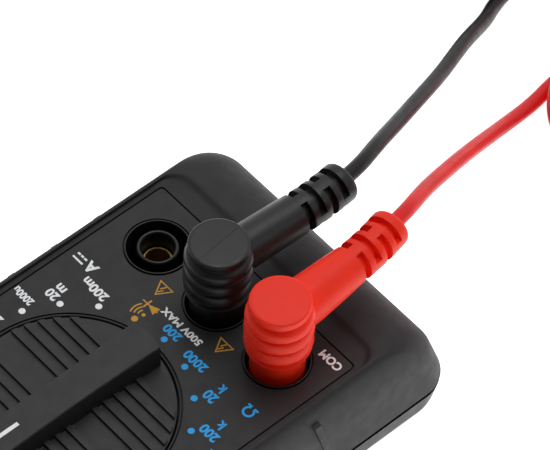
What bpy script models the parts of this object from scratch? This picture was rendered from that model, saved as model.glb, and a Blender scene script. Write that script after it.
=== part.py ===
"""Handheld digital multimeter with two probe leads plugged in, as separate closed solids.

The meter lies on its back. The origin is on the surface under the middle of the case,
+X is the meter's right-hand side, +Y runs from the jacks to the display and +Z is up.
Sizes are written in millimetres and become metres where a mesh is made.
"""
import math

import bmesh
import bpy
import numpy as np
from mathutils import Vector

for old in list(bpy.data.objects):
    bpy.data.objects.remove(old, do_unlink=True)

MM = 0.001
GAP = 0.3
ROUND = 48

# Case
CASE_TOP = 31.0
PANEL_TOP = 30.2
CORNER_STEPS = 4
WALL = 1.7
CEILING_DROP = 1.5
POCKET_Z = 29.5
# Each side of the case: where the shoulder starts, its radius and the draft below it.
SIDE_SHOULDER = (32.8, 2.2, 0.5)
JACK_END_SHOULDER = (52.4, 16.0, 22.0)
DISPLAY_END_SHOULDER = (60.9, 9.0, 10.0)
OUTER_LEVELS = (7.9, 20.0, 23.5, 26.5, 28.8, 29.8, 30.6, 31.0)
INNER_LEVELS = (27.7, 25.5, 22.0, 17.0, 7.9)
# The recess round the panel: height, half width, end towards the jacks.
RECESS_LOOPS = ((31.0, 32.05, 51.5), (30.7, 31.95, 50.8), (30.3, 31.9, 49.7), (30.2, 31.88, 48.8))
RECESS_DISPLAY_END = 60.0
RECESS_CORNER = 4.5
POCKET = (30.8, 45.9, 59.0)

# Grip ribs on the side walls
RIB_COUNT = 6
RIB_PITCH = 11.75
RIB_FIRST_Y = -31.4
RIB_LEAN = 5.0
RIB_TOP, RIB_BOTTOM = 28.5, 9.0
RIB_WIDTH = 1.8
RIB_FACE_X = 35.5

# Rear case: height, half width, jack end, display end
REAR_LOOPS = ((7.6, 35.1, 72.4, 72.4), (2.6, 34.6, 70.5, 71.0), (1.3, 34.0, 69.6, 70.0), (0.4, 33.0, 68.3, 69.0),
              (0.0, 32.0, 67.0, 68.0))
REAR_INNER_LOOPS = ((2.0, 32.2, 68.0, 68.5), (7.6, 33.1, 70.3, 70.3))

# Jacks
JACK_Y = -34.6
JACKS = {"common": -19.0, "volts": 0.0, "ten_amp": 19.0}
COLLAR_R, WELL_R, TUBE_R, MOUTH_R, BORE_R = 7.2, 6.7, 4.6, 3.7, 3.5
WELL_OUTER_R = 7.9
WELL_FLOOR, WELL_BOTTOM = 13.0, 11.0
JACK_TOP = 30.35
MOUTH_FLOOR = 27.8
SLEEVE_R, SLEEVE_BORE_R = 3.2, 2.85
SLEEVE_TOP, SLEEVE_BOTTOM = 25.9, 9.6

# Knob
DIAL_Y = 5.7
DISC_R = 22.4
KNOB_HOLE_R = 22.75
LIP_R = 23.25
PANEL_HOLE_R = 23.55
FLANGE_R, FLANGE_BOTTOM, FLANGE_TOP = 24.0, 24.4, 27.4
STUB_R = 3.4
BAR_TOP = 36.35
BAR_END_R = 21.5
BAR_MID_HALF, BAR_END_HALF, BAR_FLARE = 3.9, 4.25, 0.3
KNOB_RIB_COUNT = 5
KNOB_RIB_PITCH, KNOB_RIB_WIDTH, KNOB_RIB_HEIGHT = 2.88, 1.3, 0.6
KNOB_RIB_FIRST = 2.8
DETENTS = 20
DETENT_R, DETENT_DEPTH, DETENT_OUTER_R = 25.3, 0.3, 27.2
BALL_R = 1.1
BALL_AT = 23.6
SLOT_START = 15.5

# Circuit board
PCB_BOTTOM, PCB_TOP = 20.9, 22.5
PCB_BOX = (-31.0, 31.0, -25.8, 64.5)
PCB_SCREWS = ((-28.5, -22.0), (28.5, -22.0), (0.0, 61.5))
CASE_SCREWS = ((-27.0, -62.0), (27.0, -62.0), (-28.0, 62.0), (28.0, 62.0))

# Display
LENS = (25.3, 40.4, 57.4)
LENS_Z = (28.4, 30.1)
VIEW = (23.8, 41.9, 55.9)
LCD_FRAME = (28.3, 38.2, 58.4)

# Battery bay
BATTERY = (-26.5, 22.0, 27.5, 54.0)
BATTERY_Z = (3.0, 20.4)
COVER = (28.7, 26.3, 56.7)
COVER_TONGUE = (4.6, 17.9)
COVER_SCREW_Y = 21.5
COVER_THICK = 2.0

# Leads. A plug's rings: bottom and top above the panel, and radius.
PLUG_RINGS = ((6.0, 8.0, 7.0), (8.2, 11.8, 7.3), (12.0, 15.5, 7.35), (15.7, 19.0, 7.25))
PLUG_GROOVE_R = 6.1
PLUG_CAP = (19.2, 21.0, 6.5)
SHROUD_R, SHROUD_BORE_R = 5.9, 5.1
SHROUD_BOTTOM = 13.6
PIN_R = 1.85
PIN_BOTTOM, PIN_TOP = 12.0, 37.7
ARM_Z = 44.1
ARM_LENGTH, BOOT_LENGTH = 20.5, 13.8
# The boot's slots: how many rows, their pitch and width, and how deep the flat floor lies.
SLOT_ROWS, SLOT_PITCH, SLOT_WIDTH, SLOT_DEPTH = 4, 3.1, 1.65, 1.3
CORD_R = 1.75
COIL_INNER_R, COIL_OUTER_R, COIL_HEIGHT = 11.1, 24.0, 7.8
PROBE_LENGTH, GUARD_AT = 92.0, 73.0
GUARD_R = 7.5

LOOKS = {
    "case": ((0.018, 0.018, 0.019), 0.5, 0.0),
    "panel": ((0.03, 0.03, 0.033), 0.4, 0.0),
    "red": ((0.78, 0.08, 0.04), 0.42, 0.0),
    "lens": ((0.35, 0.38, 0.36), 0.1, 0.0),
    "lcd": ((0.42, 0.47, 0.4), 0.3, 0.0),
    "white": ((0.8, 0.8, 0.78), 0.5, 0.0),
    "rubber": ((0.05, 0.05, 0.05), 0.8, 0.0),
    "board": ((0.03, 0.2, 0.07), 0.45, 0.0),
    "brass": ((0.78, 0.57, 0.25), 0.3, 1.0),
    "nickel": ((0.75, 0.74, 0.72), 0.25, 1.0),
    "steel": ((0.55, 0.55, 0.56), 0.35, 1.0),
    "copper": ((0.72, 0.38, 0.22), 0.4, 1.0),
    "glass": ((0.8, 0.85, 0.85), 0.1, 0.0),
    "part_red": ((0.5, 0.1, 0.05), 0.5, 0.0),
    "part_blue": ((0.05, 0.12, 0.45), 0.5, 0.0),
    "battery": ((0.12, 0.12, 0.14), 0.35, 0.2),
}


# Shapes: each is a list of points in millimetres and a list of faces.

def circle(radius, z, segments, at=(0.0, 0.0)):
    angles = [math.tau * k / segments for k in range(segments)]
    return [(at[0] + radius * math.cos(a), at[1] + radius * math.sin(a), z) for a in angles]


def outline(x0, x1, y0, y1, radius, z):
    """A rectangle with round corners, counterclockwise at height z."""
    points = []
    centres = ((x1 - radius, y1 - radius), (x0 + radius, y1 - radius), (x0 + radius, y0 + radius),
               (x1 - radius, y0 + radius))
    for quarter, (cx, cy) in enumerate(centres):
        for step in range(CORNER_STEPS + 1):
            a = math.radians(90 * (quarter + step / CORNER_STEPS))
            points.append((cx + radius * math.cos(a), cy + radius * math.sin(a), z))
    return points


def loft(rings, closed=False):
    """A skin over rings of equal length, capped at both ends unless it closes on itself."""
    count = len(rings[0])
    points = [point for ring in rings for point in ring]
    faces = []
    for low in range(len(rings) if closed else len(rings) - 1):
        high = (low + 1) % len(rings)
        for k in range(count):
            after = (k + 1) % count
            faces.append((low * count + k, low * count + after, high * count + after, high * count + k))
    if not closed:
        faces.append(tuple(range(count))[::-1])
        faces.append(tuple(range(len(points) - count, len(points))))
    return points, faces


def turned(profile, segments=24, at=(0.0, 0.0)):
    """A profile of (radius, z) turned about a vertical axis. It starts and ends on the axis."""
    points, faces = [(at[0], at[1], profile[0][1])], []
    for radius, z in profile[1:-1]:
        points += circle(radius, z, segments, at)
    points.append((at[0], at[1], profile[-1][1]))
    last = len(points) - 1
    for k in range(segments):
        after = (k + 1) % segments
        faces.append((0, 1 + after, 1 + k))
        faces.append((last, last - segments + k, last - segments + after))
        for row in range(len(profile) - 3):
            low = 1 + row * segments
            faces.append((low + k, low + after, low + segments + after, low + segments + k))
    return points, faces


def cylinder(radius, z0, z1, at=(0.0, 0.0), segments=24):
    return turned(((0, z0), (radius, z0), (radius, z1), (0, z1)), segments, at)


def tube_ring(inner, outer, z0, z1, at=(0.0, 0.0), segments=24):
    rings = [circle(r, z, segments, at) for r, z in ((inner, z0), (outer, z0), (outer, z1), (inner, z1))]
    return loft(rings, closed=True)


def box(x0, x1, y0, y1, z0, z1):
    return loft([[(x0, y0, z), (x1, y0, z), (x1, y1, z), (x0, y1, z)] for z in (z0, z1)])


def prism_x(profile, x0, x1):
    """A profile of (y, z) drawn out along X."""
    return loft([[(x, y, z) for y, z in profile] for x in (x0, x1)])


def plate(half, y0, y1, z0, z1, radius):
    return loft([outline(-half, half, y0, y1, radius, z) for z in (z0, z1)])


def moved(shape, angle=0.0, to=(0.0, 0.0, 0.0)):
    """A shape turned about the vertical axis through the origin, then moved."""
    c, s = math.cos(angle), math.sin(angle)
    points = [(c * x - s * y + to[0], s * x + c * y + to[1], z + to[2]) for x, y, z in shape[0]]
    return points, shape[1]


def along_x(shape, at, tilt=0.0, backwards=False):
    """A shape turned about Z, laid along +X (or -X) from a point, its far end raised by tilt."""
    way = -1 if backwards else 1
    c, s = math.cos(tilt), math.sin(tilt)
    points = [(at[0] + way * (c * z - s * x), at[1] + y, at[2] + s * z + c * x) for x, y, z in shape[0]]
    return points, shape[1]


def swept(path, radii, segments=12):
    """Round rings across a path that stays close to level."""
    rings = []
    for k, (point, radius) in enumerate(zip(path, radii)):
        before, after = Vector(path[max(k - 1, 0)]), Vector(path[min(k + 1, len(path) - 1)])
        ahead = (after - before).normalized()
        side = ahead.cross(Vector((0, 0, 1))).normalized()
        up = side.cross(ahead)
        turns = [math.tau * n / segments for n in range(segments)]
        rings.append([tuple(Vector(point) + radius * (math.cos(a) * side + math.sin(a) * up)) for a in turns])
    return loft(rings)


# Objects

def material(name, look):
    colour, roughness, metallic = LOOKS[look]
    made = bpy.data.materials.new(name)
    made.use_nodes = True
    shader = made.node_tree.nodes["Principled BSDF"]
    shader.inputs["Base Color"].default_value = (*colour, 1.0)
    shader.inputs["Roughness"].default_value = roughness
    shader.inputs["Metallic"].default_value = metallic
    return made


def add(name, shapes, look, origin=(0.0, 0.0, 0.0)):
    """One object from one or more shapes, with its origin at a point in millimetres."""
    points, faces = [], []
    for shape_points, shape_faces in shapes:
        faces += [tuple(len(points) + k for k in face) for face in shape_faces]
        points += shape_points
    mesh = bpy.data.meshes.new(name)
    mesh.from_pydata([(Vector(p) - Vector(origin)) * MM for p in points], [], faces)
    skin = bmesh.new()
    skin.from_mesh(mesh)
    bmesh.ops.recalc_face_normals(skin, faces=skin.faces)
    skin.to_mesh(mesh)
    skin.free()
    mesh.shade_smooth()
    mesh.set_sharp_from_angle(angle=math.radians(35))
    mesh.materials.append(material(name, look))
    made = bpy.data.objects.new(name, mesh)
    made.location = Vector(origin) * MM
    bpy.context.scene.collection.objects.link(made)
    return made


def shape_with(target, operation, shapes):
    """A Boolean on the target with a hidden helper that holds separate shapes."""
    helper = add(f"{target.name}_{operation.lower()}_{len(target.modifiers)}", shapes, "rubber")
    helper.hide_render = True
    helper.display_type = "WIRE"
    modifier = target.modifiers.new(operation.title(), "BOOLEAN")
    modifier.operation = operation
    modifier.object = helper


def bevel(target, width):
    modifier = target.modifiers.new("Bevel", "BEVEL")
    modifier.width = width * MM
    modifier.segments = 1
    modifier.limit_method = "ANGLE"


def wire(name, points, radius, look):
    """A round tube along points, as a curve with filled ends."""
    curve = bpy.data.curves.new(name, "CURVE")
    curve.dimensions = "3D"
    curve.bevel_depth = radius * MM
    curve.bevel_resolution = 2
    curve.use_fill_caps = True
    spline = curve.splines.new("POLY")
    spline.points.add(len(points) - 1)
    for target, point in zip(spline.points, points):
        target.co = (*(Vector(point) * MM), 1.0)
    curve.materials.append(material(name, look))
    bpy.context.scene.collection.objects.link(bpy.data.objects.new(name, curve))


def smooth(route, spacing):
    """Points at even spacing on the natural cubic curve through a route."""
    route = np.array(route, float)
    steps = np.linalg.norm(np.diff(route, axis=0), axis=1)
    at = np.concatenate([[0.0], np.cumsum(steps)])
    count = len(route)
    system = np.eye(count)
    wanted = np.zeros((count, 3))
    for k in range(1, count - 1):
        system[k, k - 1:k + 2] = steps[k - 1], 2 * (steps[k - 1] + steps[k]), steps[k]
        wanted[k] = 6 * ((route[k + 1] - route[k]) / steps[k] - (route[k] - route[k - 1]) / steps[k - 1])
    bend = np.linalg.solve(system, wanted)
    fine = []
    for k, step in enumerate(steps):
        for t in np.linspace(0.0, step, 40, endpoint=False):
            a, b = (step - t) / step, t / step
            fine.append(a * route[k] + b * route[k + 1]
                        + ((a ** 3 - a) * bend[k] + (b ** 3 - b) * bend[k + 1]) * step ** 2 / 6)
    fine = np.array(fine + [route[-1]])
    run = np.concatenate([[0.0], np.cumsum(np.linalg.norm(np.diff(fine, axis=0), axis=1))])
    wanted_runs = np.linspace(0.0, run[-1], max(2, round(run[-1] / spacing) + 1))
    return np.stack([np.interp(wanted_runs, run, fine[:, axis]) for axis in range(3)], axis=1)


# Case shells

def shoulder(z, side):
    """How far a side of the front case reaches at height z."""
    start, radius, draft = side
    centre = CASE_TOP - radius
    slope = math.radians(draft)
    end = centre + radius * math.sin(slope)
    if z >= end:
        return start + math.sqrt(max(radius ** 2 - (z - centre) ** 2, 0.0))
    return start + radius * math.cos(slope) + (end - z) * math.tan(slope)


def case_corner(z):
    return 4.5 + 2.2 * math.sqrt(min(1.0, (CASE_TOP - z) / 10.0))


def case_ring(z, level, inset):
    half = shoulder(level, SIDE_SHOULDER) - inset
    jack_end = shoulder(level, JACK_END_SHOULDER) - inset
    display_end = shoulder(level, DISPLAY_END_SHOULDER) - inset
    return outline(-half, half, -jack_end, display_end, case_corner(level) - inset, z)


def grip_rib(side, top_y):
    """One slanted rib, wider where it leaves the wall. side is 1 on the right, -1 on the left."""
    rings = []
    for x, half_width, ends in ((RIB_FACE_X - 1.1, RIB_WIDTH / 2, 0.0), (RIB_FACE_X, RIB_WIDTH / 2 - 0.35, 0.8)):
        top, bottom = RIB_TOP - ends, RIB_BOTTOM + ends
        rings.append([(side * x, top_y - half_width, top), (side * x, top_y + half_width, top),
                      (side * x, top_y - RIB_LEAN + half_width, bottom),
                      (side * x, top_y - RIB_LEAN - half_width, bottom)])
    return loft(rings)


def detent_wall():
    count = DETENTS * 3
    angles = [math.tau * k / count for k in range(count)]
    inner = [DETENT_R + DETENT_DEPTH * math.cos(DETENTS * a) for a in angles]
    rings = []
    for z, wavy in ((23.2, True), (23.2, False), (28.5, False), (28.5, True)):
        radii = inner if wavy else [DETENT_OUTER_R] * count
        rings.append([(r * math.cos(a), DIAL_Y + r * math.sin(a), z) for r, a in zip(radii, angles)])
    return loft(rings, closed=True)


def front_case():
    rings = [case_ring(z, z + CEILING_DROP, WALL) for z in INNER_LEVELS]
    rings += [case_ring(z, z, 0.0) for z in OUTER_LEVELS]
    rings += [outline(-half, half, -end, RECESS_DISPLAY_END, RECESS_CORNER, z) for z, half, end in RECESS_LOOPS]
    half, jack_end, display_end = POCKET
    rings += [outline(-half, half, -jack_end, display_end, 1.0, z) for z in (PANEL_TOP, POCKET_Z)]
    case = add("front_case", [loft(rings)], "case")

    added = [detent_wall(), cylinder(LIP_R, 28.4, PANEL_TOP, (0, DIAL_Y), ROUND)]
    well = ((0, WELL_BOTTOM), (WELL_OUTER_R, WELL_BOTTOM), (WELL_OUTER_R, 28.6), (COLLAR_R, 28.6),
            (COLLAR_R, JACK_TOP), (0, JACK_TOP))
    added += [turned(well, 24, (x, JACK_Y)) for x in JACKS.values()]
    for x, y in CASE_SCREWS:
        added.append(cylinder(3.2, 8.2, 23.5 if y < 0 else 28.5, (x, y), 12))
    added += [cylinder(2.5, PCB_TOP + GAP, 28.5, at, 12) for at in PCB_SCREWS]
    for k in range(RIB_COUNT):
        added += [grip_rib(side, RIB_FIRST_Y + k * RIB_PITCH) for side in (-1, 1)]
    shape_with(case, "UNION", added)

    cut = [cylinder(KNOB_HOLE_R, 26.9, 33.0, (0, DIAL_Y), ROUND)]
    bore = ((0, 10.0), (BORE_R, 10.0), (BORE_R, MOUTH_FLOOR), (MOUTH_R, MOUTH_FLOOR), (MOUTH_R, 33.0), (0, 33.0))
    for x in JACKS.values():
        cut.append(tube_ring(TUBE_R, WELL_R, WELL_FLOOR, 33.0, (x, JACK_Y), 24))
        cut.append(turned(bore, 16, (x, JACK_Y)))
    view_half, view_low, view_high = VIEW
    lens_half, lens_low, lens_high = LENS
    opening = [outline(-view_half, view_half, view_low, view_high, 1.0, z) for z in (27.0, LENS_Z[0] - GAP)]
    opening += [outline(-lens_half - GAP, lens_half + GAP, lens_low - GAP, lens_high + GAP, 1.3, z)
                for z in (LENS_Z[0] - GAP, 33.0)]
    cut.append(loft(opening))
    for x, y in CASE_SCREWS:
        cut.append(cylinder(1.6, 7.0, 21.5 if y < 0 else 26.0, (x, y), 8))
    cut += [cylinder(1.4, PCB_TOP - 1.0, 27.0, at, 8) for at in PCB_SCREWS]
    shape_with(case, "DIFFERENCE", cut)


def rear_case():
    corner = {z: 5.7 + z / 7.6 for z, *_ in REAR_LOOPS}
    rings = [outline(-half, half, -jack, display, 5.0, z) for z, half, jack, display in REAR_INNER_LOOPS]
    rings += [outline(-half, half, -jack, display, corner[z], z) for z, half, jack, display in REAR_LOOPS]
    case = add("rear_case", [loft(rings)], "case")

    half, low, high = COVER
    walls = [box(-32.0, 32.0, 24.4, 25.7, 1.5, 20.3), box(-23.0, 23.0, 60.2, 61.4, 1.5, 17.0)]
    walls += [box(min(x, x + side), max(x, x + side), 26.2, 57.2, 1.5, 20.3)
              for x, side in ((-31.2, 1.2), (31.2, -1.2))]
    bosses = [cylinder(4.4, 1.0, 7.4, at, 14) for at in CASE_SCREWS]
    shape_with(case, "UNION", walls + bosses)
    shape_with(case, "UNION", [box(-6.2, 6.2, 16.2, 25.0, 1.5, 10.0)])

    screw_hole = ((0, -1.0), (3.1, -1.0), (3.1, 4.4), (1.7, 4.4), (1.7, 9.0), (0, 9.0))
    cut = [turned(screw_hole, 10, at) for at in CASE_SCREWS]
    cut.append(plate(half + GAP, low - GAP, high + GAP, -1.0, COVER_THICK + 0.6, 1.5))
    shape_with(case, "DIFFERENCE", cut)
    tongue_half, tongue_low = COVER_TONGUE
    shape_with(case, "DIFFERENCE", [box(-tongue_half - GAP, tongue_half + GAP, tongue_low - GAP, low + 1.0,
                                        -1.0, COVER_THICK + 0.4)])
    shape_with(case, "DIFFERENCE", [cylinder(1.9, 1.0, 8.0, (0, COVER_SCREW_Y), 16)])


# Face

def face_panel():
    half, jack_end, display_end = POCKET
    panel = add("face_panel", [plate(half - GAP, -jack_end + GAP, display_end - GAP, POCKET_Z + GAP, PANEL_TOP,
                                     0.9)], "panel")
    lens_half, lens_low, lens_high = LENS
    cut = [cylinder(COLLAR_R + GAP, 29.0, 31.0, (x, JACK_Y), 24) for x in JACKS.values()]
    cut.append(cylinder(PANEL_HOLE_R, 29.0, 31.0, (0, DIAL_Y), ROUND))
    cut.append(plate(lens_half + GAP, lens_low - GAP, lens_high + GAP, 29.0, 31.0, 1.3))
    shape_with(panel, "DIFFERENCE", cut)


def display():
    half, low, high = LENS
    add("lcd_window", [plate(half, low, high, *LENS_Z, 1.0)], "lens")
    half, low, high = LCD_FRAME
    frame = add("lcd_frame", [plate(half, low, high, PCB_TOP + GAP, 27.4, 1.0)], "white")
    seat, floor = 25.0, 22.0
    steps = ((half - 2.4, 2.4, floor), (half - 2.4, 2.4, seat), (half - 1.0, 1.0, seat), (half - 1.0, 1.0, 29.0))
    hole = [outline(-x, x, low + inset, high - inset, 0.5, z) for x, inset, z in steps]
    shape_with(frame, "DIFFERENCE", [loft(hole)])
    add("lcd_glass", [plate(half - 1.3, low + 1.3, high - 1.3, seat + GAP, 27.3, 0.5)], "lcd")
    add("zebra_strip", [box(-24.6, 24.6, low + 3.0, low + 5.2, PCB_TOP + GAP, seat)], "rubber")


# Selector

def bar_ring(z, widening):
    """The pointer bar's outline: gently waisted sides, ends that follow the disc's edge."""
    steps = 6
    side = []
    for k in range(steps + 1):
        t = 2.0 * k / steps - 1.0
        half = BAR_MID_HALF + (BAR_END_HALF - BAR_MID_HALF) * t * t + widening
        reach = math.sqrt(BAR_END_R ** 2 - half ** 2)
        side.append((half, t * reach))
    cap = math.sqrt(BAR_END_R ** 2 - (BAR_END_HALF + widening) ** 2)
    crown = BAR_END_R - cap
    right = [(x, y, z) for x, y in side] + [(0.0, cap + crown, z)]
    return [(x, DIAL_Y + y, z) for x, y, z in right + [(-x, -y, z) for x, y, z in right]]


def selector():
    origin = (0.0, DIAL_Y, 0.0)
    profile = ((0, 20.0), (STUB_R, 20.0), (STUB_R, FLANGE_BOTTOM), (FLANGE_R, FLANGE_BOTTOM), (FLANGE_R, FLANGE_TOP),
               (DISC_R, FLANGE_TOP), (DISC_R, PANEL_TOP - 0.2), (DISC_R - 0.2, PANEL_TOP), (0, PANEL_TOP))
    knob = add("rotary_knob", [turned(profile, ROUND, (0, DIAL_Y))], "case", origin)
    bar = [bar_ring(29.5, BAR_FLARE), bar_ring(PANEL_TOP, BAR_FLARE), bar_ring(BAR_TOP - 0.4, 0.0),
           bar_ring(BAR_TOP, -0.4)]
    shape_with(knob, "UNION", [loft(bar)])
    ribs = []
    for k in range(KNOB_RIB_COUNT):
        across = KNOB_RIB_FIRST + k * KNOB_RIB_PITCH
        reach = math.sqrt((DISC_R - 1.0) ** 2 - (across + 2.0) ** 2)
        for end in (-1, 1):
            for side in (-1, 1):
                y = sorted((end * across, end * (across + KNOB_RIB_WIDTH)))
                x = sorted((side * 6.6, side * reach))
                ribs.append(box(*x, DIAL_Y + y[0], DIAL_Y + y[1], 29.6, PANEL_TOP + KNOB_RIB_HEIGHT))
    shape_with(knob, "UNION", ribs)
    slots = [box(min(a, b), max(a, b), DIAL_Y - BALL_R - GAP, DIAL_Y + BALL_R + GAP, 23.5, FLANGE_TOP - 0.4)
             for a, b in ((SLOT_START, 25.0), (-SLOT_START, -25.0))]
    shape_with(knob, "DIFFERENCE", slots)

    ball_z = 25.75
    for number, side in ((1, 1), (2, -1)):
        arc = [math.radians(a) for a in range(-90, 91, 30)]
        ball = [(BALL_R * math.cos(a), BALL_R * math.sin(a)) for a in arc]
        ball = [(0, ball[0][1])] + ball[1:-1] + [(0, ball[-1][1])]
        add(f"detent_ball_{number}", [moved(turned(ball, 12), 0.0, (side * BALL_AT, DIAL_Y, ball_z))], "steel",
            origin)
        turns, per_turn = 4, 7
        start, end = SLOT_START + GAP + 0.3, BALL_AT - BALL_R - GAP - 0.25
        coil = []
        for k in range(turns * per_turn + 1):
            a = math.tau * k / per_turn
            x = start + (end - start) * k / (turns * per_turn)
            coil.append((side * x, DIAL_Y + 0.85 * math.cos(a), ball_z + 0.85 * math.sin(a)))
        wire(f"detent_spring_{number}", coil, 0.2, "steel")
    contact = ((8.0, 24.1), (18.0, 24.1), (18.0, 23.7), (15.5, 23.7), (14.0, 22.8), (12.0, 22.8), (10.5, 23.7),
               (8.0, 23.7))
    for number in (1, 2, 3):
        strip = prism_x(contact, -0.9, 0.9)
        add(f"wiper_contact_{number}", [moved(strip, math.tau * number / 3, (0, DIAL_Y, 0))], "copper", origin)


# Jacks, board and what is on it

def jack_sleeves():
    for name, x in JACKS.items():
        sleeve = add(f"jack_sleeve_{name}", [tube_ring(SLEEVE_BORE_R, SLEEVE_R, SLEEVE_BOTTOM, SLEEVE_TOP,
                                                       (x, JACK_Y), 14)], "brass")
        start, corner = JACK_Y + SLEEVE_BORE_R + 0.15, -24.1
        strip = ((start, SLEEVE_BOTTOM + 0.1), (corner, SLEEVE_BOTTOM + 0.1), (corner, PCB_BOTTOM - GAP),
                 (corner - 0.8, PCB_BOTTOM - GAP), (corner - 0.8, SLEEVE_BOTTOM + 1.0), (start, SLEEVE_BOTTOM + 1.0))
        shape_with(sleeve, "UNION", [prism_x(strip, x - 1.0, x + 1.0)])


def board():
    x0, x1, y0, y1 = PCB_BOX
    pcb = add("pcb", [box(x0, x1, y0, y1, PCB_BOTTOM, PCB_TOP)], "board")
    cut = [cylinder(STUB_R + 0.4, 20.0, 24.0, (0, DIAL_Y), 24)]
    cut += [cylinder(1.6, 20.0, 24.0, at, 12) for at in PCB_SCREWS]
    notch_x, notch_y = 24.2, 58.2
    cut += [box(a, b, notch_y, y1 + 1.0, 20.0, 24.0) for a, b in ((x0 - 1.0, -notch_x), (notch_x, x1 + 1.0))]
    shape_with(pcb, "DIFFERENCE", cut)

    under = PCB_BOTTOM - GAP
    blocks = {"controller_chip": ((-17.0, -5.0, 10.5, 22.5, 19.0), "rubber"),
              "trimmer": ((-28.0, -21.5, 12.0, 18.5, 16.5), "part_blue"),
              "film_capacitor_1": ((-28.0, -18.0, -7.0, -2.0, 12.5), "part_red"),
              "film_capacitor_2": ((-28.0, -18.0, 1.0, 6.0, 12.5), "part_red")}
    for name, ((bx0, bx1, by0, by1, low), look) in blocks.items():
        bevel(add(name, [box(bx0, bx1, by0, by1, low, under)], look), 0.5)
    can = ((0, 14.0), (1.2, 14.0), (1.2, 15.0), (7.6, 15.0), (8.0, 15.4), (8.0, under), (0, under))
    add("buzzer", [turned(can, 24, (18.0, -8.0))], "rubber")

    fuse_y, fuse_z = -18.0, 16.5
    glass = ((0, 0.0), (2.3, 0.0), (2.6, 0.3), (2.6, 5.0), (2.4, 5.0), (2.4, 15.0), (2.6, 15.0), (2.6, 19.7),
             (2.3, 20.0), (0, 20.0))
    add("fuse", [along_x(turned(glass, 16), (-22.0, fuse_y, fuse_z))], "glass")
    clip = ((-3.5, under), (3.5, under), (3.5, 13.6), (3.0, 13.6), (3.0, 20.1), (-3.0, 20.1), (-3.0, 13.6),
            (-3.5, 13.6))
    for number, x in ((1, -21.5), (2, -5.5)):
        add(f"fuse_clip_{number}", [prism_x([(fuse_y + y, z) for y, z in clip], x, x + 3.0)], "nickel")
    arc = [math.radians(a) for a in range(180, 361, 30)]
    shunt = [(8.0, -22.0, under)] + [(14.0 + 6.0 * math.cos(a), -22.0, 15.0 + 3.5 * math.sin(a)) for a in arc]
    wire("shunt_wire", shunt + [(20.0, -22.0, under)], 0.75, "copper")


def screw(name, at, head_low, head_high, tip_z, look="steel"):
    """A cross-head screw that points up, with its head at the bottom."""
    x, y = at
    head_r, shank_r = 2.7, 1.25
    profile = ((0, head_low), (head_r - 0.4, head_low), (head_r, head_low + 0.5), (head_r, head_high),
               (shank_r, head_high), (shank_r, tip_z - 1.0), (0, tip_z))
    made = add(name, [turned(profile, 10, at)], look)
    arm, half = 1.6, 0.35
    cross = [(half, -arm), (half, -half), (arm, -half), (arm, half), (half, half), (half, arm), (-half, arm),
             (-half, half), (-arm, half), (-arm, -half), (-half, -half), (-half, -arm)]
    depth = min(0.9, 0.6 * (head_high - head_low))
    slot = loft([[(x + px, y + py, z) for px, py in cross] for z in (head_low - 1.0, head_low + depth)])
    shape_with(made, "DIFFERENCE", [slot])


def screws():
    for number, at in enumerate(CASE_SCREWS, 1):
        screw(f"case_screw_{number}", at, 2.0, 4.1, 19.0)
    for number, at in enumerate(PCB_SCREWS, 1):
        screw(f"pcb_screw_{number}", at, PCB_BOTTOM - 2.2, PCB_BOTTOM - GAP, 26.5)


# Battery and its cover

def battery():
    x0, x1, y0, y1 = BATTERY
    low, high = BATTERY_Z
    section = outline(y0, y1, low, high, 2.5, 0.0)
    block = add("battery", [loft([[(x, a, b) for a, b, _ in section] for x in (x0, x1)])], "battery")
    middle_y, middle_z = (y0 + y1) / 2, (low + high) / 2
    studs = []
    for offset, radius in ((-6.35, 2.9), (6.35, 4.1)):
        stud = ((0, -1.0), (radius, -1.0), (radius, 1.8), (0, 1.8))
        studs.append(along_x(turned(stud, 12), (x1, middle_y + offset, middle_z)))
    shape_with(block, "UNION", studs)
    snap_x = x1 + 1.8 + GAP
    bevel(add("battery_snap", [box(snap_x, snap_x + 2.9, y0 + 1.5, y1 - 1.5, low + 3.0, high - 3.0)], "rubber"), 0.5)
    exit_x = snap_x + 2.9 + GAP
    for name, look, y in (("battery_lead_red", "red", 34.0), ("battery_lead_black", "rubber", 46.0)):
        route = ((exit_x, y, 11.0), (exit_x + 0.9, y - 0.5, 11.4), (exit_x + 1.5, y - 1.5, 13.5),
                 (exit_x + 1.0, y - 2.5, 17.0), (exit_x + 0.2, y - 3.0, 20.4))
        wire(name, smooth(route, 1.6), 0.6, look)


def battery_cover():
    half, low, high = COVER
    tongue_half, tongue_low = COVER_TONGUE
    hinge = (0.0, high, 0.0)
    cover = add("battery_cover", [plate(half, low, high, 0.0, COVER_THICK, 1.2)], "case", hinge)
    hook = ((55.2, 1.5), (55.2, 3.5), (59.5, 3.5), (59.5, 2.3), (high, 2.3), (high, 1.5))
    shape_with(cover, "UNION", [box(-tongue_half, tongue_half, tongue_low, low + 2.0, 0.0, COVER_THICK)])
    shape_with(cover, "UNION", [prism_x(hook, x, x + 8.0) for x in (-20.0, 12.0)])
    hole = ((0, -1.0), (3.0, -1.0), (3.0, 1.4), (1.7, 1.4), (1.7, 3.0), (0, 3.0))
    shape_with(cover, "DIFFERENCE", [turned(hole, 16, (0, COVER_SCREW_Y))])
    screw("battery_cover_screw", (0, COVER_SCREW_Y), 0.1, 1.1, 6.0)


# Leads. Each runs from its plug over the case's edge to a coil and then to its probe.

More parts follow.
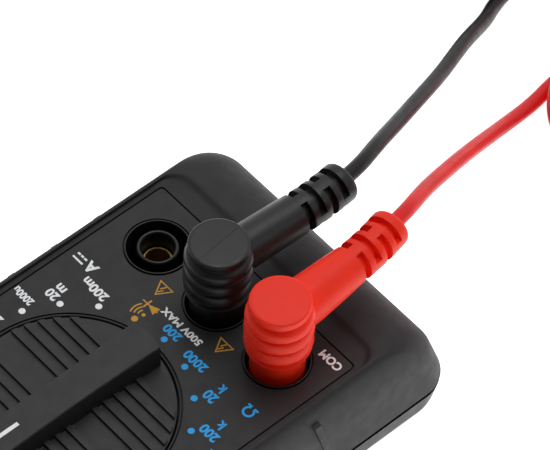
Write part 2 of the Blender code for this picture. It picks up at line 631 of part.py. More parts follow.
LEADS = {
    "red": {
        "jack": "common", "arm": (5.3, 4.5), "yaw": 3.0, "boot_yaw": 11.0,
        "route": ((-15.8, -69.1, 44.1), (-14.7, -73.5, 43.4), (-11.6, -80.7, 39.8), (-5.8, -93.7, 31.0),
                  (-0.2, -106.9, 21.6), (4.8, -119.7, 12.6), (7.9, -129.0, 7.0), (10.4, -139.5, 3.3),
                  (12.2, -148.0, 2.2), (12.8, -155.0, 2.15)),
        "coil": (-9.4, -155.0),
        "tail": ((-9.4, -177.2, 5.65), (-16.4, -177.2, 5.3), (-21.4, -177.2, 4.2), (-27.4, -177.3, 2.8),
                 (-35.9, -180.9, 1.95), (-39.6, -189.8, 1.85), (-35.9, -198.8, 1.95), (-31.4, -201.8, 3.0),
                 (-27.4, -202.5, 4.2)),
        "probe": (-27.0, -202.5, 4.2), "backwards": False,
    },
    "black": {
        "jack": "volts", "arm": (4.9, 4.65), "yaw": -2.5, "boot_yaw": 8.5,
        "route": ((-0.43, -69.25, 44.1), (0.3, -73.2, 43.6), (2.8, -80.1, 41.5), (8.4, -92.6, 35.0),
                  (14.6, -105.9, 27.5), (21.4, -120.1, 19.5), (28.7, -134.9, 12.0), (34.6, -147.4, 5.0),
                  (37.9, -154.5, 2.6), (38.9, -161.5, 2.15)),
        "coil": (61.1, -161.5),
        "tail": ((61.1, -183.7, 5.65), (67.5, -183.7, 5.3), (73.4, -185.1, 4.2), (78.4, -188.4, 3.0),
                 (83.1, -199.8, 1.85), (78.4, -211.3, 2.0), (72.6, -215.1, 3.2), (67.4, -216.0, 4.2)),
        "probe": (67.0, -216.0, 4.2), "backwards": True,
    },
}


def arm_place(lead, along):
    """The middle of the plug's arm or boot at a distance from the plug's axis, and its heading from -Y."""
    place = Vector((JACKS[lead["jack"]], JACK_Y, ARM_Z))
    steps = 40
    heading = 0.0
    for k in range(steps):
        middle = along * (k + 0.5) / steps
        bend = min(max((middle - ARM_LENGTH) / BOOT_LENGTH, 0.0), 1.0)
        heading = math.radians(lead["yaw"] + bend * lead["boot_yaw"])
        place += along / steps * Vector((math.sin(heading), -math.cos(heading), 0.0))
    return place, heading


def plug_body(name, lead):
    x = JACKS[lead["jack"]]
    profile = [(0, PIN_TOP + GAP), (PIN_R + 0.4, PIN_TOP + GAP), (PIN_R + 0.4, 32.0), (SHROUD_BORE_R, 32.0),
               (SHROUD_BORE_R, SHROUD_BOTTOM), (SHROUD_R, SHROUD_BOTTOM)]
    for bottom, top, radius in PLUG_RINGS:
        inner = SHROUD_R if bottom == PLUG_RINGS[0][0] else PLUG_GROOVE_R
        profile += [(inner, PANEL_TOP + bottom), (radius, PANEL_TOP + bottom + 0.15),
                    (radius - 0.3, PANEL_TOP + top - 0.1), (PLUG_GROOVE_R, PANEL_TOP + top)]
    bottom, top, radius = PLUG_CAP
    profile += [(radius, PANEL_TOP + bottom), (radius, PANEL_TOP + top - 0.5), (radius - 0.5, PANEL_TOP + top - 0.1),
                (0, PANEL_TOP + top)]
    body = add(f"{name}_plug_body", [turned(profile, 20, (x, JACK_Y))], "red" if name == "red" else "case",
               (x, JACK_Y, PANEL_TOP))
    wide, narrow = lead["arm"]
    solid_from = ARM_LENGTH + SLOT_ROWS * SLOT_PITCH - SLOT_PITCH + SLOT_WIDTH
    end = ARM_LENGTH + BOOT_LENGTH
    stations = [(3.0, wide), (8.0, wide), (15.0, (wide + narrow) / 2), (ARM_LENGTH, narrow)]
    stations += [(ARM_LENGTH + k * SLOT_PITCH, narrow) for k in range(1, SLOT_ROWS)]
    stations += [(solid_from, narrow), (end - 1.2, narrow - 0.1), (end - 0.4, narrow - 0.6), (end, narrow - 1.5)]
    path = [tuple(arm_place(lead, along)[0]) for along, _ in stations]
    shape_with(body, "UNION", [swept(path, [radius for _, radius in stations], 16)])
    slots = []
    for k in range(SLOT_ROWS):
        place, heading = arm_place(lead, ARM_LENGTH + k * SLOT_PITCH + SLOT_WIDTH / 2)
        floor, past, half = narrow - SLOT_DEPTH, narrow + 1.0, SLOT_WIDTH / 2
        for side in (-1, 1):
            low, high = sorted((side * floor, side * past))
            across = (low, high, -half, half, -past, past) if k % 2 == 0 else (-past, past, -half, half, low, high)
            slots.append(moved(box(*across), heading, place))
    shape_with(body, "DIFFERENCE", slots)


def clear_of_coil(points, centre):
    """The part of a run of cord that keeps clear of the coil."""
    reach = COIL_OUTER_R + CORD_R + GAP + 0.1
    return [p for p in points if math.hypot(p[0] - centre[0], p[1] - centre[1]) > reach]


def probe(name, lead):
    """A handle with a finger guard, and its pointed tip, lying on the guard and the tail end."""
    look = "red" if name == "red" else "case"
    tilt = math.asin((GUARD_R + 0.05 - lead["probe"][2]) / GUARD_AT)
    handle = ((0, GAP), (2.6, GAP), (2.9, 4.0), (3.3, 13.0), (4.6, 15.0), (5.3, 28.0), (5.0, 55.0), (5.2, 69.8),
              (GUARD_R, GUARD_AT - 1.2), (GUARD_R, GUARD_AT + 1.3), (5.0, 76.3), (3.4, 90.0), (2.8, PROBE_LENGTH),
              (1.35, PROBE_LENGTH), (1.35, 84.0), (0, 84.0))
    tip = ((0, 84.3), (1.05, 84.3), (1.05, 105.5), (0, 108.0))
    add(f"{name}_probe_handle", [along_x(turned(handle, 14), lead["probe"], tilt, lead["backwards"])], look)
    add(f"{name}_probe_tip", [along_x(turned(tip, 10), lead["probe"], tilt, lead["backwards"])], "nickel")


def leads():
    for name, lead in LEADS.items():
        x = JACKS[lead["jack"]]
        cord_look = "red" if name == "red" else "rubber"
        plug_body(name, lead)
        pin = ((0, PIN_BOTTOM), (1.2, PIN_BOTTOM), (PIN_R, PIN_BOTTOM + 1.2), (PIN_R, PIN_TOP), (0, PIN_TOP))
        add(f"{name}_plug_pin", [turned(pin, 16, (x, JACK_Y))], "nickel", (x, JACK_Y, PANEL_TOP))
        wire(f"{name}_cord", clear_of_coil(smooth(lead["route"], 6.5), lead["coil"]), CORD_R, cord_look)
        ring = tube_ring(COIL_INNER_R, COIL_OUTER_R, 0.0, COIL_HEIGHT, lead["coil"], 32)
        add(f"{name}_coil", [ring], cord_look)
        wire(f"{name}_cord_tail", clear_of_coil(smooth(lead["tail"], 5.0), lead["coil"]), CORD_R, cord_look)
        probe(name, lead)


front_case()
rear_case()
face_panel()
display()
selector()
jack_sleeves()
board()
screws()
battery()
battery_cover()
leads()
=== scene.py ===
"""Looks of the handheld multimeter and its two probe leads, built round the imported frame.

Lengths are written in millimetres in the row frame and become metres where a mesh is made.
"""
import math

import bmesh
import bpy
import numpy as np
from mathutils import Matrix, Vector


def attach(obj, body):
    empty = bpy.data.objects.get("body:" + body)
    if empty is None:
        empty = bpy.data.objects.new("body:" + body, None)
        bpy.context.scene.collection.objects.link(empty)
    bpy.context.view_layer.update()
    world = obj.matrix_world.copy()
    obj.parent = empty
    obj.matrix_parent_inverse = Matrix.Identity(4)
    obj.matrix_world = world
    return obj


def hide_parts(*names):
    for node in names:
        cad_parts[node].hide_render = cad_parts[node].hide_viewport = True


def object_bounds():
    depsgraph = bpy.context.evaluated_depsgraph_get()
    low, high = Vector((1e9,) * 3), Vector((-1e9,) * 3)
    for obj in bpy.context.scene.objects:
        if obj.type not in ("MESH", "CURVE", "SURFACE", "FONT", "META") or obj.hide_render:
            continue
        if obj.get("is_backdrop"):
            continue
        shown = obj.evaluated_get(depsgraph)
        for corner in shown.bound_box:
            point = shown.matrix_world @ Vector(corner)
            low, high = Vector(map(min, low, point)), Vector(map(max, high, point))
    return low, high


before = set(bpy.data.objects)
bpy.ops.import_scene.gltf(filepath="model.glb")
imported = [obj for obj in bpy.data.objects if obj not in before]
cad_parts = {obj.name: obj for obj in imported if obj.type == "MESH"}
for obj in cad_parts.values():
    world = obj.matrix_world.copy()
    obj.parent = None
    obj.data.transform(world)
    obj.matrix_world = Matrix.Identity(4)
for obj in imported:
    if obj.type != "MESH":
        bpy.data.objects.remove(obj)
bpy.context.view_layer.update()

MM = 0.001
PANEL = 30.2
CASE_TOP = 31.0
JACK_Y = -34.6
DIAL_Y = 5.7
JACKS = {"common": -19.0, "volts": 0.0, "ten_amp": 19.0}
# The two edges of the groove between the case halves.
PARTING_HIGH, PARTING_LOW = 8.05, 7.1
# The knob's pointer bar, and the ring of dots that it points at.
BAR_TOP, BAR_END_R = 36.35, 21.5
DOT_RING_R = 25.83
INK_LOW, INK_HIGH = PANEL - 0.02, PANEL + 0.025


# Shapes: each is a list of points in millimetres and a list of faces.

def circle(radius, z, segments, at=(0.0, 0.0)):
    angles = [math.tau * k / segments for k in range(segments)]
    return [(at[0] + radius * math.cos(a), at[1] + radius * math.sin(a), z) for a in angles]


def outline(x0, x1, y0, y1, radius, z, steps=12):
    """A rectangle with round corners, counterclockwise at height z."""
    points = []
    centres = ((x1 - radius, y1 - radius), (x0 + radius, y1 - radius), (x0 + radius, y0 + radius),
               (x1 - radius, y0 + radius))
    for quarter, (cx, cy) in enumerate(centres):
        for step in range(steps + 1):
            a = math.radians(90 * (quarter + step / steps))
            points.append((cx + radius * math.cos(a), cy + radius * math.sin(a), z))
    return points


def loft(rings, closed=False):
    """A skin over rings of equal length, capped at both ends unless it closes on itself."""
    count = len(rings[0])
    points = [point for ring in rings for point in ring]
    faces = []
    for low in range(len(rings) if closed else len(rings) - 1):
        high = (low + 1) % len(rings)
        for k in range(count):
            after = (k + 1) % count
            faces.append((low * count + k, low * count + after, high * count + after, high * count + k))
    if not closed:
        faces.append(tuple(range(count))[::-1])
        faces.append(tuple(range(len(points) - count, len(points))))
    return points, faces


def turned(profile, segments=64, at=(0.0, 0.0)):
    """A profile of (radius, z) turned about a vertical axis. It starts and ends on the axis."""
    points, faces = [(at[0], at[1], profile[0][1])], []
    for radius, z in profile[1:-1]:
        points += circle(radius, z, segments, at)
    points.append((at[0], at[1], profile[-1][1]))
    last = len(points) - 1
    for k in range(segments):
        after = (k + 1) % segments
        faces.append((0, 1 + after, 1 + k))
        faces.append((last, last - segments + k, last - segments + after))
        for row in range(len(profile) - 3):
            low = 1 + row * segments
            faces.append((low + k, low + after, low + segments + after, low + segments + k))
    return points, faces


def hoop(profile, segments=96, at=(0.0, 0.0)):
    """A closed profile of (radius, z) turned about a vertical axis."""
    return loft([circle(r, z, segments, at) for r, z in profile], closed=True)


def cylinder(radius, z0, z1, at=(0.0, 0.0), segments=64):
    return turned(((0, z0), (radius, z0), (radius, z1), (0, z1)), segments, at)


def box(x0, x1, y0, y1, z0, z1):
    return loft([[(x0, y0, z), (x1, y0, z), (x1, y1, z), (x0, y1, z)] for z in (z0, z1)])


def moved(shape, angle=0.0, to=(0.0, 0.0, 0.0)):
    """A shape turned about the vertical axis through the origin, then moved."""
    c, s = math.cos(angle), math.sin(angle)
    return [(c * x - s * y + to[0], s * x + c * y + to[1], z + to[2]) for x, y, z in shape[0]], shape[1]


def along_x(shape, at, tilt=0.0, backwards=False):
    """A shape turned about Z, laid along +X (or -X) from a point, its far end raised by tilt."""
    way = -1 if backwards else 1
    c, s = math.cos(tilt), math.sin(tilt)
    points = [(at[0] + way * (c * z - s * x), at[1] + y, at[2] + s * z + c * x) for x, y, z in shape[0]]
    return points, shape[1]


def swept(path, radii, segments=48):
    """Round rings across a path that stays close to level."""
    rings = []
    for k, (point, radius) in enumerate(zip(path, radii)):
        before, after = Vector(path[max(k - 1, 0)]), Vector(path[min(k + 1, len(path) - 1)])
        ahead = (after - before).normalized()
        side = ahead.cross(Vector((0, 0, 1))).normalized()
        up = side.cross(ahead)
        turns = [math.tau * n / segments for n in range(segments)]
        rings.append([tuple(Vector(point) + radius * (math.cos(a) * side + math.sin(a) * up)) for a in turns])
    return loft(rings)


def smooth(route, spacing):
    """Points at even spacing on the natural cubic curve through a route, in any number of dimensions."""
    route = np.array(route, float)
    steps = np.linalg.norm(np.diff(route, axis=0), axis=1)
    count, size = route.shape
    system = np.eye(count)
    wanted = np.zeros((count, size))
    for k in range(1, count - 1):
        system[k, k - 1:k + 2] = steps[k - 1], 2 * (steps[k - 1] + steps[k]), steps[k]
        wanted[k] = 6 * ((route[k + 1] - route[k]) / steps[k] - (route[k] - route[k - 1]) / steps[k - 1])
    bend = np.linalg.solve(system, wanted)
    fine = []
    for k, step in enumerate(steps):
        for t in np.linspace(0.0, step, 40, endpoint=False):
            a, b = (step - t) / step, t / step
            fine.append(a * route[k] + b * route[k + 1]
                        + ((a ** 3 - a) * bend[k] + (b ** 3 - b) * bend[k + 1]) * step ** 2 / 6)
    fine = np.array(fine + [route[-1]])
    run = np.concatenate([[0.0], np.cumsum(np.linalg.norm(np.diff(fine, axis=0), axis=1))])
    places = np.linspace(0.0, run[-1], max(2, round(run[-1] / spacing) + 1))
    return np.stack([np.interp(places, run, fine[:, axis]) for axis in range(size)], axis=1)


# Materials

class Nodes:
    """A material's node tree, with its shader and a few node recipes."""

    def __init__(self, name, colour, roughness, metallic=0.0):
        self.made = bpy.data.materials.new(name)
        self.made.use_nodes = True
        self.tree = self.made.node_tree
        self.shader = self.tree.nodes["Principled BSDF"]
        self.shader.inputs["Base Color"].default_value = (*colour, 1.0)
        self.shader.inputs["Roughness"].default_value = roughness
        self.shader.inputs["Metallic"].default_value = metallic
        self.place = self.tree.nodes.new("ShaderNodeTexCoord").outputs["Object"]

    def stretched(self, scale):
        mapping = self.tree.nodes.new("ShaderNodeMapping")
        mapping.inputs["Scale"].default_value = scale
        self.tree.links.new(self.place, mapping.inputs["Vector"])
        return mapping.outputs["Vector"]

    def noise(self, scale, detail=2.0, place=None, distortion=0.0):
        node = self.tree.nodes.new("ShaderNodeTexNoise")
        node.inputs["Scale"].default_value = scale
        node.inputs["Detail"].default_value = detail
        node.inputs["Distortion"].default_value = distortion
        self.tree.links.new(place or self.place, node.inputs["Vector"])
        return node.outputs["Fac"]

    def cells(self, scale, place=None):
        node = self.tree.nodes.new("ShaderNodeTexVoronoi")
        node.inputs["Scale"].default_value = scale
        self.tree.links.new(place or self.place, node.inputs["Vector"])
        return node.outputs["Distance"]

    def spread(self, value, low, high, start=0.3, end=0.7):
        node = self.tree.nodes.new("ShaderNodeMapRange")
        for socket, number in (("From Min", start), ("From Max", end), ("To Min", low), ("To Max", high)):
            node.inputs[socket].default_value = number
        self.tree.links.new(value, node.inputs["Value"])
        return node.outputs["Result"]

    def colours(self, value, low, high, start=0.3, end=0.7):
        ramp = self.tree.nodes.new("ShaderNodeValToRGB")
        ramp.color_ramp.elements[0].position = start
        ramp.color_ramp.elements[0].color = (*low, 1.0)
        ramp.color_ramp.elements[1].position = end
        ramp.color_ramp.elements[1].color = (*high, 1.0)
        self.tree.links.new(value, ramp.inputs["Fac"])
        self.tree.links.new(ramp.outputs["Color"], self.shader.inputs["Base Color"])

    def rough(self, value, low, high):
        self.tree.links.new(self.spread(value, low, high), self.shader.inputs["Roughness"])

    def bump(self, heights):
        """heights: (value, strength, distance in metres), laid one on the other."""
        normal = None
        for value, strength, distance in heights:
            node = self.tree.nodes.new("ShaderNodeBump")
            node.inputs["Strength"].default_value = strength
            node.inputs["Distance"].default_value = distance
            self.tree.links.new(value, node.inputs["Height"])
            if normal is not None:
                self.tree.links.new(normal, node.inputs["Normal"])
            normal = node.outputs["Normal"]
        self.tree.links.new(normal, self.shader.inputs["Normal"])


def tinted(colour, factor):
    return tuple(min(1.0, channel * factor) for channel in colour)


def plastic(name, colour, roughness, grain=2600.0, depth=0.00002, strength=0.35, level=0.5, mottle=0.12):
    """Moulded plastic: spark-eroded grain, slow changes of tone and gloss."""
    kit = Nodes(name, colour, roughness)
    broad = kit.noise(60.0, 3.0)
    fine = kit.noise(grain, 2.0)
    kit.colours(broad, tinted(colour, 1.0 - mottle), tinted(colour, 1.0 + mottle))
    kit.rough(kit.noise(350.0, 4.0), roughness - 0.05, roughness + 0.06)
    kit.bump([(fine, strength, depth), (kit.cells(grain * 0.45), strength * 0.5, depth)])
    kit.shader.inputs["Specular IOR Level"].default_value = level
    return kit.made


def soft_pvc(name, colour, roughness, level=0.5):
    """Flexible PVC: nearly smooth, with a faint orange-peel surface and scuffs."""
    kit = Nodes(name, colour, roughness)
    kit.colours(kit.noise(90.0, 3.0), tinted(colour, 0.93), tinted(colour, 1.07))
    kit.rough(kit.noise(500.0, 5.0, distortion=0.6), roughness - 0.04, roughness + 0.09)
    kit.bump([(kit.noise(420.0, 2.0), 0.12, 0.00005), (kit.noise(3500.0, 1.0), 0.1, 0.00001)])
    kit.shader.inputs["Specular IOR Level"].default_value = level
    return kit.made


def metal(name, colour, roughness):
    """Drawn or plated metal with fine lines and a little tarnish."""
    kit = Nodes(name, colour, roughness, 1.0)
    lines = kit.noise(1.0, 3.0, kit.stretched((400.0, 400.0, 4000.0)))
    kit.colours(kit.noise(250.0, 4.0), tinted(colour, 0.82), tinted(colour, 1.05))
    kit.rough(lines, max(0.05, roughness - 0.08), roughness + 0.12)
    kit.bump([(lines, 0.15, 0.00001)])
    return kit.made


def printed(name, colour):
    """Screen-printed ink with a faint speckle."""
    kit = Nodes(name, colour, 0.45)
    kit.colours(kit.noise(1500.0, 3.0), tinted(colour, 0.9), tinted(colour, 1.04))
    kit.bump([(kit.noise(2600.0, 1.0), 0.2, 0.00001)])
    kit.shader.inputs["Specular IOR Level"].default_value = 0.3
    return kit.made


def clear(name, colour, roughness):
    """Clear acrylic or glass, a little uneven in gloss."""
    kit = Nodes(name, colour, roughness)
    kit.shader.inputs["Transmission Weight"].default_value = 0.92
    kit.shader.inputs["IOR"].default_value = 1.49
    kit.rough(kit.noise(300.0, 4.0), roughness, roughness + 0.05)
    return kit.made


def circuit(name):
    """Green solder mask over slightly raised tracks."""
    kit = Nodes(name, (0.02, 0.16, 0.06), 0.35)
    tracks = kit.cells(260.0, kit.stretched((1.0, 2.6, 1.0)))
    kit.colours(tracks, (0.012, 0.11, 0.04), (0.03, 0.21, 0.08), 0.25, 0.3)
    kit.rough(kit.noise(300.0, 3.0), 0.28, 0.42)
    kit.bump([(kit.spread(tracks, 0.0, 1.0, 0.24, 0.3), 0.3, 0.00004)])
    return kit.made


CASE = plastic("moulded_black_case", (0.0185, 0.0175, 0.0190), 0.60, level=0.36, mottle=0.03)
REAR_CASE = plastic("moulded_black_rear", (0.0185, 0.0175, 0.0190), 0.46, level=0.5, mottle=0.03)
KNOB = plastic("moulded_black_knob", (0.0145, 0.0135, 0.0135), 0.5, level=0.42)
# Black socket plastic, painted much darker than the case's own plastic: painted shade for the deep bores.
WELL_BLACK_WITH_PAINTED_SHADE = plastic("black_sockets_with_painted_shade", (0.004, 0.004, 0.0043), 0.4, strength=0.2)
FILM = plastic("dark_panel_film", (0.0115, 0.0108, 0.0118), 0.5, grain=1900.0, depth=0.000015, strength=0.3,
               level=0.38)
RED_PLUG = soft_pvc("red_plug_pvc", (0.97, 0.025, 0.004), 0.42, 0.28)
BLACK_PLUG = soft_pvc("black_plug_pvc", (0.0095, 0.0088, 0.0085), 0.38, 0.42)
RED_CABLE = soft_pvc("red_cable_pvc", (0.74, 0.016, 0.016), 0.36, 0.22)
BLACK_CABLE = soft_pvc("black_cable_pvc", (0.011, 0.0095, 0.0095), 0.36, 0.26)
WHITE_INK = printed("white_print", (0.95, 0.96, 0.97))
BLUE_INK = printed("blue_print", (0.015, 0.40, 0.92))
AMBER_INK = printed("amber_print", (0.60, 0.30, 0.02))
BRASS = metal("brass", (0.60, 0.40, 0.14), 0.38)
NICKEL = metal("nickel_plate", (0.72, 0.71, 0.68), 0.22)
STEEL = metal("zinc_plated_steel", (0.5, 0.5, 0.52), 0.33)
COPPER = metal("copper_alloy", (0.68, 0.33, 0.17), 0.35)
RUBBER = plastic("black_rubber", (0.02, 0.02, 0.02), 0.72, grain=1200.0)
EPOXY = plastic("chip_epoxy", (0.013, 0.013, 0.014), 0.55, grain=3500.0)
WHITE_PLASTIC = plastic("white_plastic", (0.72, 0.72, 0.68), 0.45)
BLUE_PLASTIC = plastic("blue_plastic", (0.02, 0.09, 0.4), 0.38)
CAPACITOR = plastic("capacitor_resin", (0.36, 0.035, 0.018), 0.28, strength=0.15)
JACKET = plastic("battery_jacket", (0.03, 0.03, 0.036), 0.3, strength=0.1)
LENS = clear("display_lens", (0.86, 0.9, 0.88), 0.04)
FUSE = clear("fuse_glass", (0.88, 0.92, 0.9), 0.03)
LCD = plastic("display_glass", (0.32, 0.37, 0.29), 0.16, strength=0.04, mottle=0.03)
BOARD = circuit("circuit_board")
TIE = plastic("tie_black", (0.012, 0.012, 0.013), 0.45, strength=0.1)

CAD_FINISH = {
    CASE: ("battery_cover",), WHITE_PLASTIC: ("lcd_frame",), LCD: ("lcd_glass",),
    RUBBER: ("zebra_strip", "buzzer"), BOARD: ("pcb",), BLUE_PLASTIC: ("trimmer",),
    CAPACITOR: ("film_capacitor_1", "film_capacitor_2"), FUSE: ("fuse",),
    NICKEL: ("fuse_clip_1", "fuse_clip_2", "red_plug_pin", "black_plug_pin", "red_probe_tip",
             "black_probe_tip"),
    STEEL: ("case_screw_1", "case_screw_2", "case_screw_3", "case_screw_4", "pcb_screw_1", "pcb_screw_2",
            "pcb_screw_3", "battery_cover_screw", "detent_ball_1", "detent_ball_2", "detent_spring_1",
            "detent_spring_2"),
    COPPER: ("shunt_wire", "wiper_contact_1", "wiper_contact_2", "wiper_contact_3"),
    JACKET: ("battery",), EPOXY: ("battery_snap", "controller_chip"), RED_CABLE: ("battery_lead_red",),
    BLACK_CABLE: ("battery_lead_black",),
    BRASS: ("jack_sleeve_common", "jack_sleeve_volts", "jack_sleeve_ten_amp"), LENS: ("lcd_window",),
}
for finish, names in CAD_FINISH.items():
    for node_name in names:
        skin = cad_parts[node_name].data
        skin.materials.clear()
        skin.materials.append(finish)


# Pieces

def mesh_object(name, shapes):
    """One object from several closed shapes."""
    points, faces = [], []
    for shape_points, shape_faces in shapes:
        faces += [tuple(len(points) + k for k in face) for face in shape_faces]
        points += shape_points
    mesh = bpy.data.meshes.new(name)
    mesh.from_pydata([Vector(p) * MM for p in points], [], faces)
    skin = bmesh.new()
    skin.from_mesh(mesh)
    bmesh.ops.recalc_face_normals(skin, faces=skin.faces)
    skin.to_mesh(mesh)
    skin.free()
    made = bpy.data.objects.new(name, mesh)
    bpy.context.scene.collection.objects.link(made)
    return made


def applied(made):
    """Turns an object's modifiers into its mesh."""
    bpy.context.view_layer.update()
    graph = bpy.context.evaluated_depsgraph_get()
    final = bpy.data.meshes.new_from_object(made.evaluated_get(graph), preserve_all_data_layers=True,
                                            depsgraph=graph)
    made.modifiers.clear()
    made.data = final


def dress(made, look, body, replaces=()):
    """Gives a piece its material, its body and the CAD nodes that it stands for."""
    made.data.materials.clear()
    made.data.materials.append(look)
    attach(made, body)
    if replaces:
        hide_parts(*replaces)
    return made


def piece(name, shapes, look, body, replaces=(), steps=(), bevel=0.0, angle=35.0):
    """A piece from shapes, then Boolean steps of (operation, shapes), then small rounded edges."""
    made = mesh_object(name, shapes)
    helpers = []
    for operation, others in steps:
        helper = mesh_object(name + "_helper", others)
        modifier = made.modifiers.new(operation, "BOOLEAN")
        modifier.operation = operation
        modifier.object = helper
        helpers.append(helper)
    if bevel:
        modifier = made.modifiers.new("Bevel", "BEVEL")
        modifier.width = bevel * MM
        modifier.segments = 2
        modifier.limit_method = "ANGLE"
        modifier.angle_limit = math.radians(angle)
        modifier.miter_outer = "MITER_ARC"
    if made.modifiers:
        applied(made)
    for helper in helpers:
        bpy.data.objects.remove(helper)
    made.data.shade_smooth()
    made.data.set_sharp_from_angle(angle=math.radians(angle))
    if bevel:
        modifier = made.modifiers.new("Weighted", "WEIGHTED_NORMAL")
        modifier.keep_sharp = True
        applied(made)
    return dress(made, look, body, replaces)


# Camera

def aim_camera():
    """A long lens looking down on the socket end, a little rolled. Angles are in radians."""
    azimuth, down, roll = 0.80752, 0.924967, 0.0492071
    stand = Vector((-365.613, 299.595, 715.162)) * MM
    ahead = Vector((math.sin(azimuth) * math.cos(down), -math.cos(azimuth) * math.cos(down), -math.sin(down)))
    right = ahead.cross(Vector((0, 0, 1))).normalized()
    up = right.cross(ahead)
    turned_right = math.cos(roll) * right + math.sin(roll) * up
    turned_up = -math.sin(roll) * right + math.cos(roll) * up
    data = bpy.data.cameras.new("camera")
    data.sensor_width = 36.0
    data.lens = 265.48
    data.clip_start, data.clip_end = 0.01, 20.0
    camera = bpy.data.objects.new("camera", data)
    basis = Matrix((turned_right, turned_up, -ahead)).transposed().to_4x4()
    basis.translation = stand
    camera.matrix_world = basis
    bpy.context.scene.collection.objects.link(camera)
    bpy.context.scene.camera = camera


aim_camera()


# Leads

CORD_R = 1.75
ARM_Z, ARM_LENGTH, BOOT_LENGTH = 44.1, 20.5, 13.8
SLOT_ROWS, SLOT_PITCH, SLOT_WIDTH, SLOT_DEPTH, SLOT_HALF_ANGLE = 4, 3.1, 1.75, 1.6, math.radians(74)
# The plug's moulded grip: (bottom, top, radius) of each ring above the panel, and its cap.
GRIP_RINGS = ((6.0, 7.9, 7.05), (7.9, 11.75, 7.3), (11.75, 15.5, 7.35), (15.5, 19.0, 7.25))
GROOVE_R = 5.95
CAP_LOW, CAP_TOP, CAP_R = 19.0, 20.9, 6.5
PROBE_LENGTH, GUARD_AT, GUARD_R = 92.0, 73.0, 7.3
COIL_R, TURN_PITCH, COIL_TURNS = 22.2, 3.5, 5.25
LAYER_LOW, LAYER_HIGH = 2.15, 5.65
ROUTE_SPACING = 5.5

LEADS = {
    "red": {
        "jack": "common", "arm": (5.3, 4.5), "yaw": 3.0, "boot_yaw": 11.0,
        "route": ((-15.8, -69.1, 44.1), (-14.7, -73.5, 43.4), (-11.6, -80.7, 39.8), (-5.8, -93.7, 31.0),
                  (-0.2, -106.9, 21.6), (4.8, -119.7, 12.6), (7.9, -129.0, 7.0), (10.4, -139.5, 3.3),
                  (12.2, -148.0, 2.2), (12.8, -155.0, 2.15)),
        "coil": (-9.4, -155.0), "start_angle": 0.0, "way": -1, "tie_angle": 2.6,
        "tail": ((-9.4, -177.2, 5.65), (-16.4, -177.2, 5.3), (-21.4, -177.2, 4.2), (-27.4, -177.3, 2.8),
                 (-35.9, -180.9, 1.95), (-39.6, -189.8, 1.85), (-35.9, -198.8, 1.95), (-31.4, -201.8, 3.0),
                 (-27.4, -202.5, 4.2)),
        "probe": (-27.0, -202.5, 4.2), "backwards": False,
        "plug_look": RED_PLUG, "cable_look": RED_CABLE,
    },
    "black": {
        "jack": "volts", "arm": (4.9, 4.65), "yaw": -2.5, "boot_yaw": 8.5,
        "route": ((-0.43, -69.25, 44.1), (0.3, -73.2, 43.6), (2.8, -80.1, 41.5), (8.4, -92.6, 35.0),
                  (14.6, -105.9, 27.5), (21.4, -120.1, 19.5), (28.7, -134.9, 12.0), (34.6, -147.4, 5.0),
                  (37.9, -154.5, 2.6), (38.9, -161.5, 2.15)),
        "coil": (61.1, -161.5), "start_angle": math.pi, "way": 1, "tie_angle": 1.2,
        "tail": ((61.1, -183.7, 5.65), (67.5, -183.7, 5.3), (73.4, -185.1, 4.2), (78.4, -188.4, 3.0),
                 (83.1, -199.8, 1.85), (78.4, -211.3, 2.0), (72.6, -215.1, 3.2), (67.4, -216.0, 4.2)),
        "probe": (67.0, -216.0, 4.2), "backwards": True,
        "plug_look": BLACK_PLUG, "cable_look": BLACK_CABLE,
    },
}


def eased(t):
    """A slow start and a slow end between 0 and 1."""
    t = min(max(t, 0.0), 1.0)
    return t * t * (3 - 2 * t)


def coil_points(lead):
    """The cord's turns: inward on the floor, up inside, then outward on top."""
    per_turn = 16
    half = COIL_TURNS / 2
    points = []
    count = round(COIL_TURNS * per_turn)
    for k in range(1, count):
        t = k / per_turn
        radius = COIL_R - TURN_PITCH * (half - abs(t - half))
        rise = eased((t - half + 0.33) / 0.66)
        a = lead["start_angle"] + lead["way"] * math.tau * t
        points.append((lead["coil"][0] + radius * math.cos(a), lead["coil"][1] + radius * math.sin(a),
                       LAYER_LOW + (LAYER_HIGH - LAYER_LOW) * rise))
    return points


def probe_tilt(lead):
    """How far the probe leans up, lying on its guard and on its tail end."""
    return math.asin((GUARD_R + 0.05 - lead["probe"][2]) / GUARD_AT)


def cord(name, lead):
    """The cord as a round curve: out of the boot, through the coil, along its tail and into the probe."""
    points = [tuple(p) for p in smooth(lead["route"], ROUTE_SPACING)]
    points += coil_points(lead)
    x, y, z = lead["probe"]
    way = -1 if lead["backwards"] else 1
    inside = [(x + way * run, y, z + run * math.sin(probe_tilt(lead))) for run in (8.0, 20.0, 32.0)]
    points += [tuple(p) for p in smooth(lead["tail"] + tuple(inside), ROUTE_SPACING)]
    curve = bpy.data.curves.new(name, "CURVE")
    curve.dimensions = "3D"
    curve.bevel_depth = CORD_R * MM
    curve.bevel_resolution = 6
    curve.resolution_u = 6
    curve.use_fill_caps = True
    spline = curve.splines.new("BEZIER")
    spline.bezier_points.add(len(points) - 1)
    for target, point in zip(spline.bezier_points, points):
        target.co = Vector(point) * MM
        target.handle_left_type = target.handle_right_type = "AUTO"
    made = bpy.data.objects.new(name, curve)
    bpy.context.scene.collection.objects.link(made)
    return made


def arm_place(lead, along):
    """The middle of the plug's arm or boot at a distance from the plug's axis, and its heading from -Y."""
    place = Vector((JACKS[lead["jack"]], JACK_Y, ARM_Z))
    steps = 40
    heading = 0.0
    for k in range(steps):
        middle = along * (k + 0.5) / steps
        bend = min(max((middle - ARM_LENGTH) / BOOT_LENGTH, 0.0), 1.0)
        heading = math.radians(lead["yaw"] + bend * lead["boot_yaw"])
        place += along / steps * Vector((math.sin(heading), -math.cos(heading), 0.0))
    return place, heading


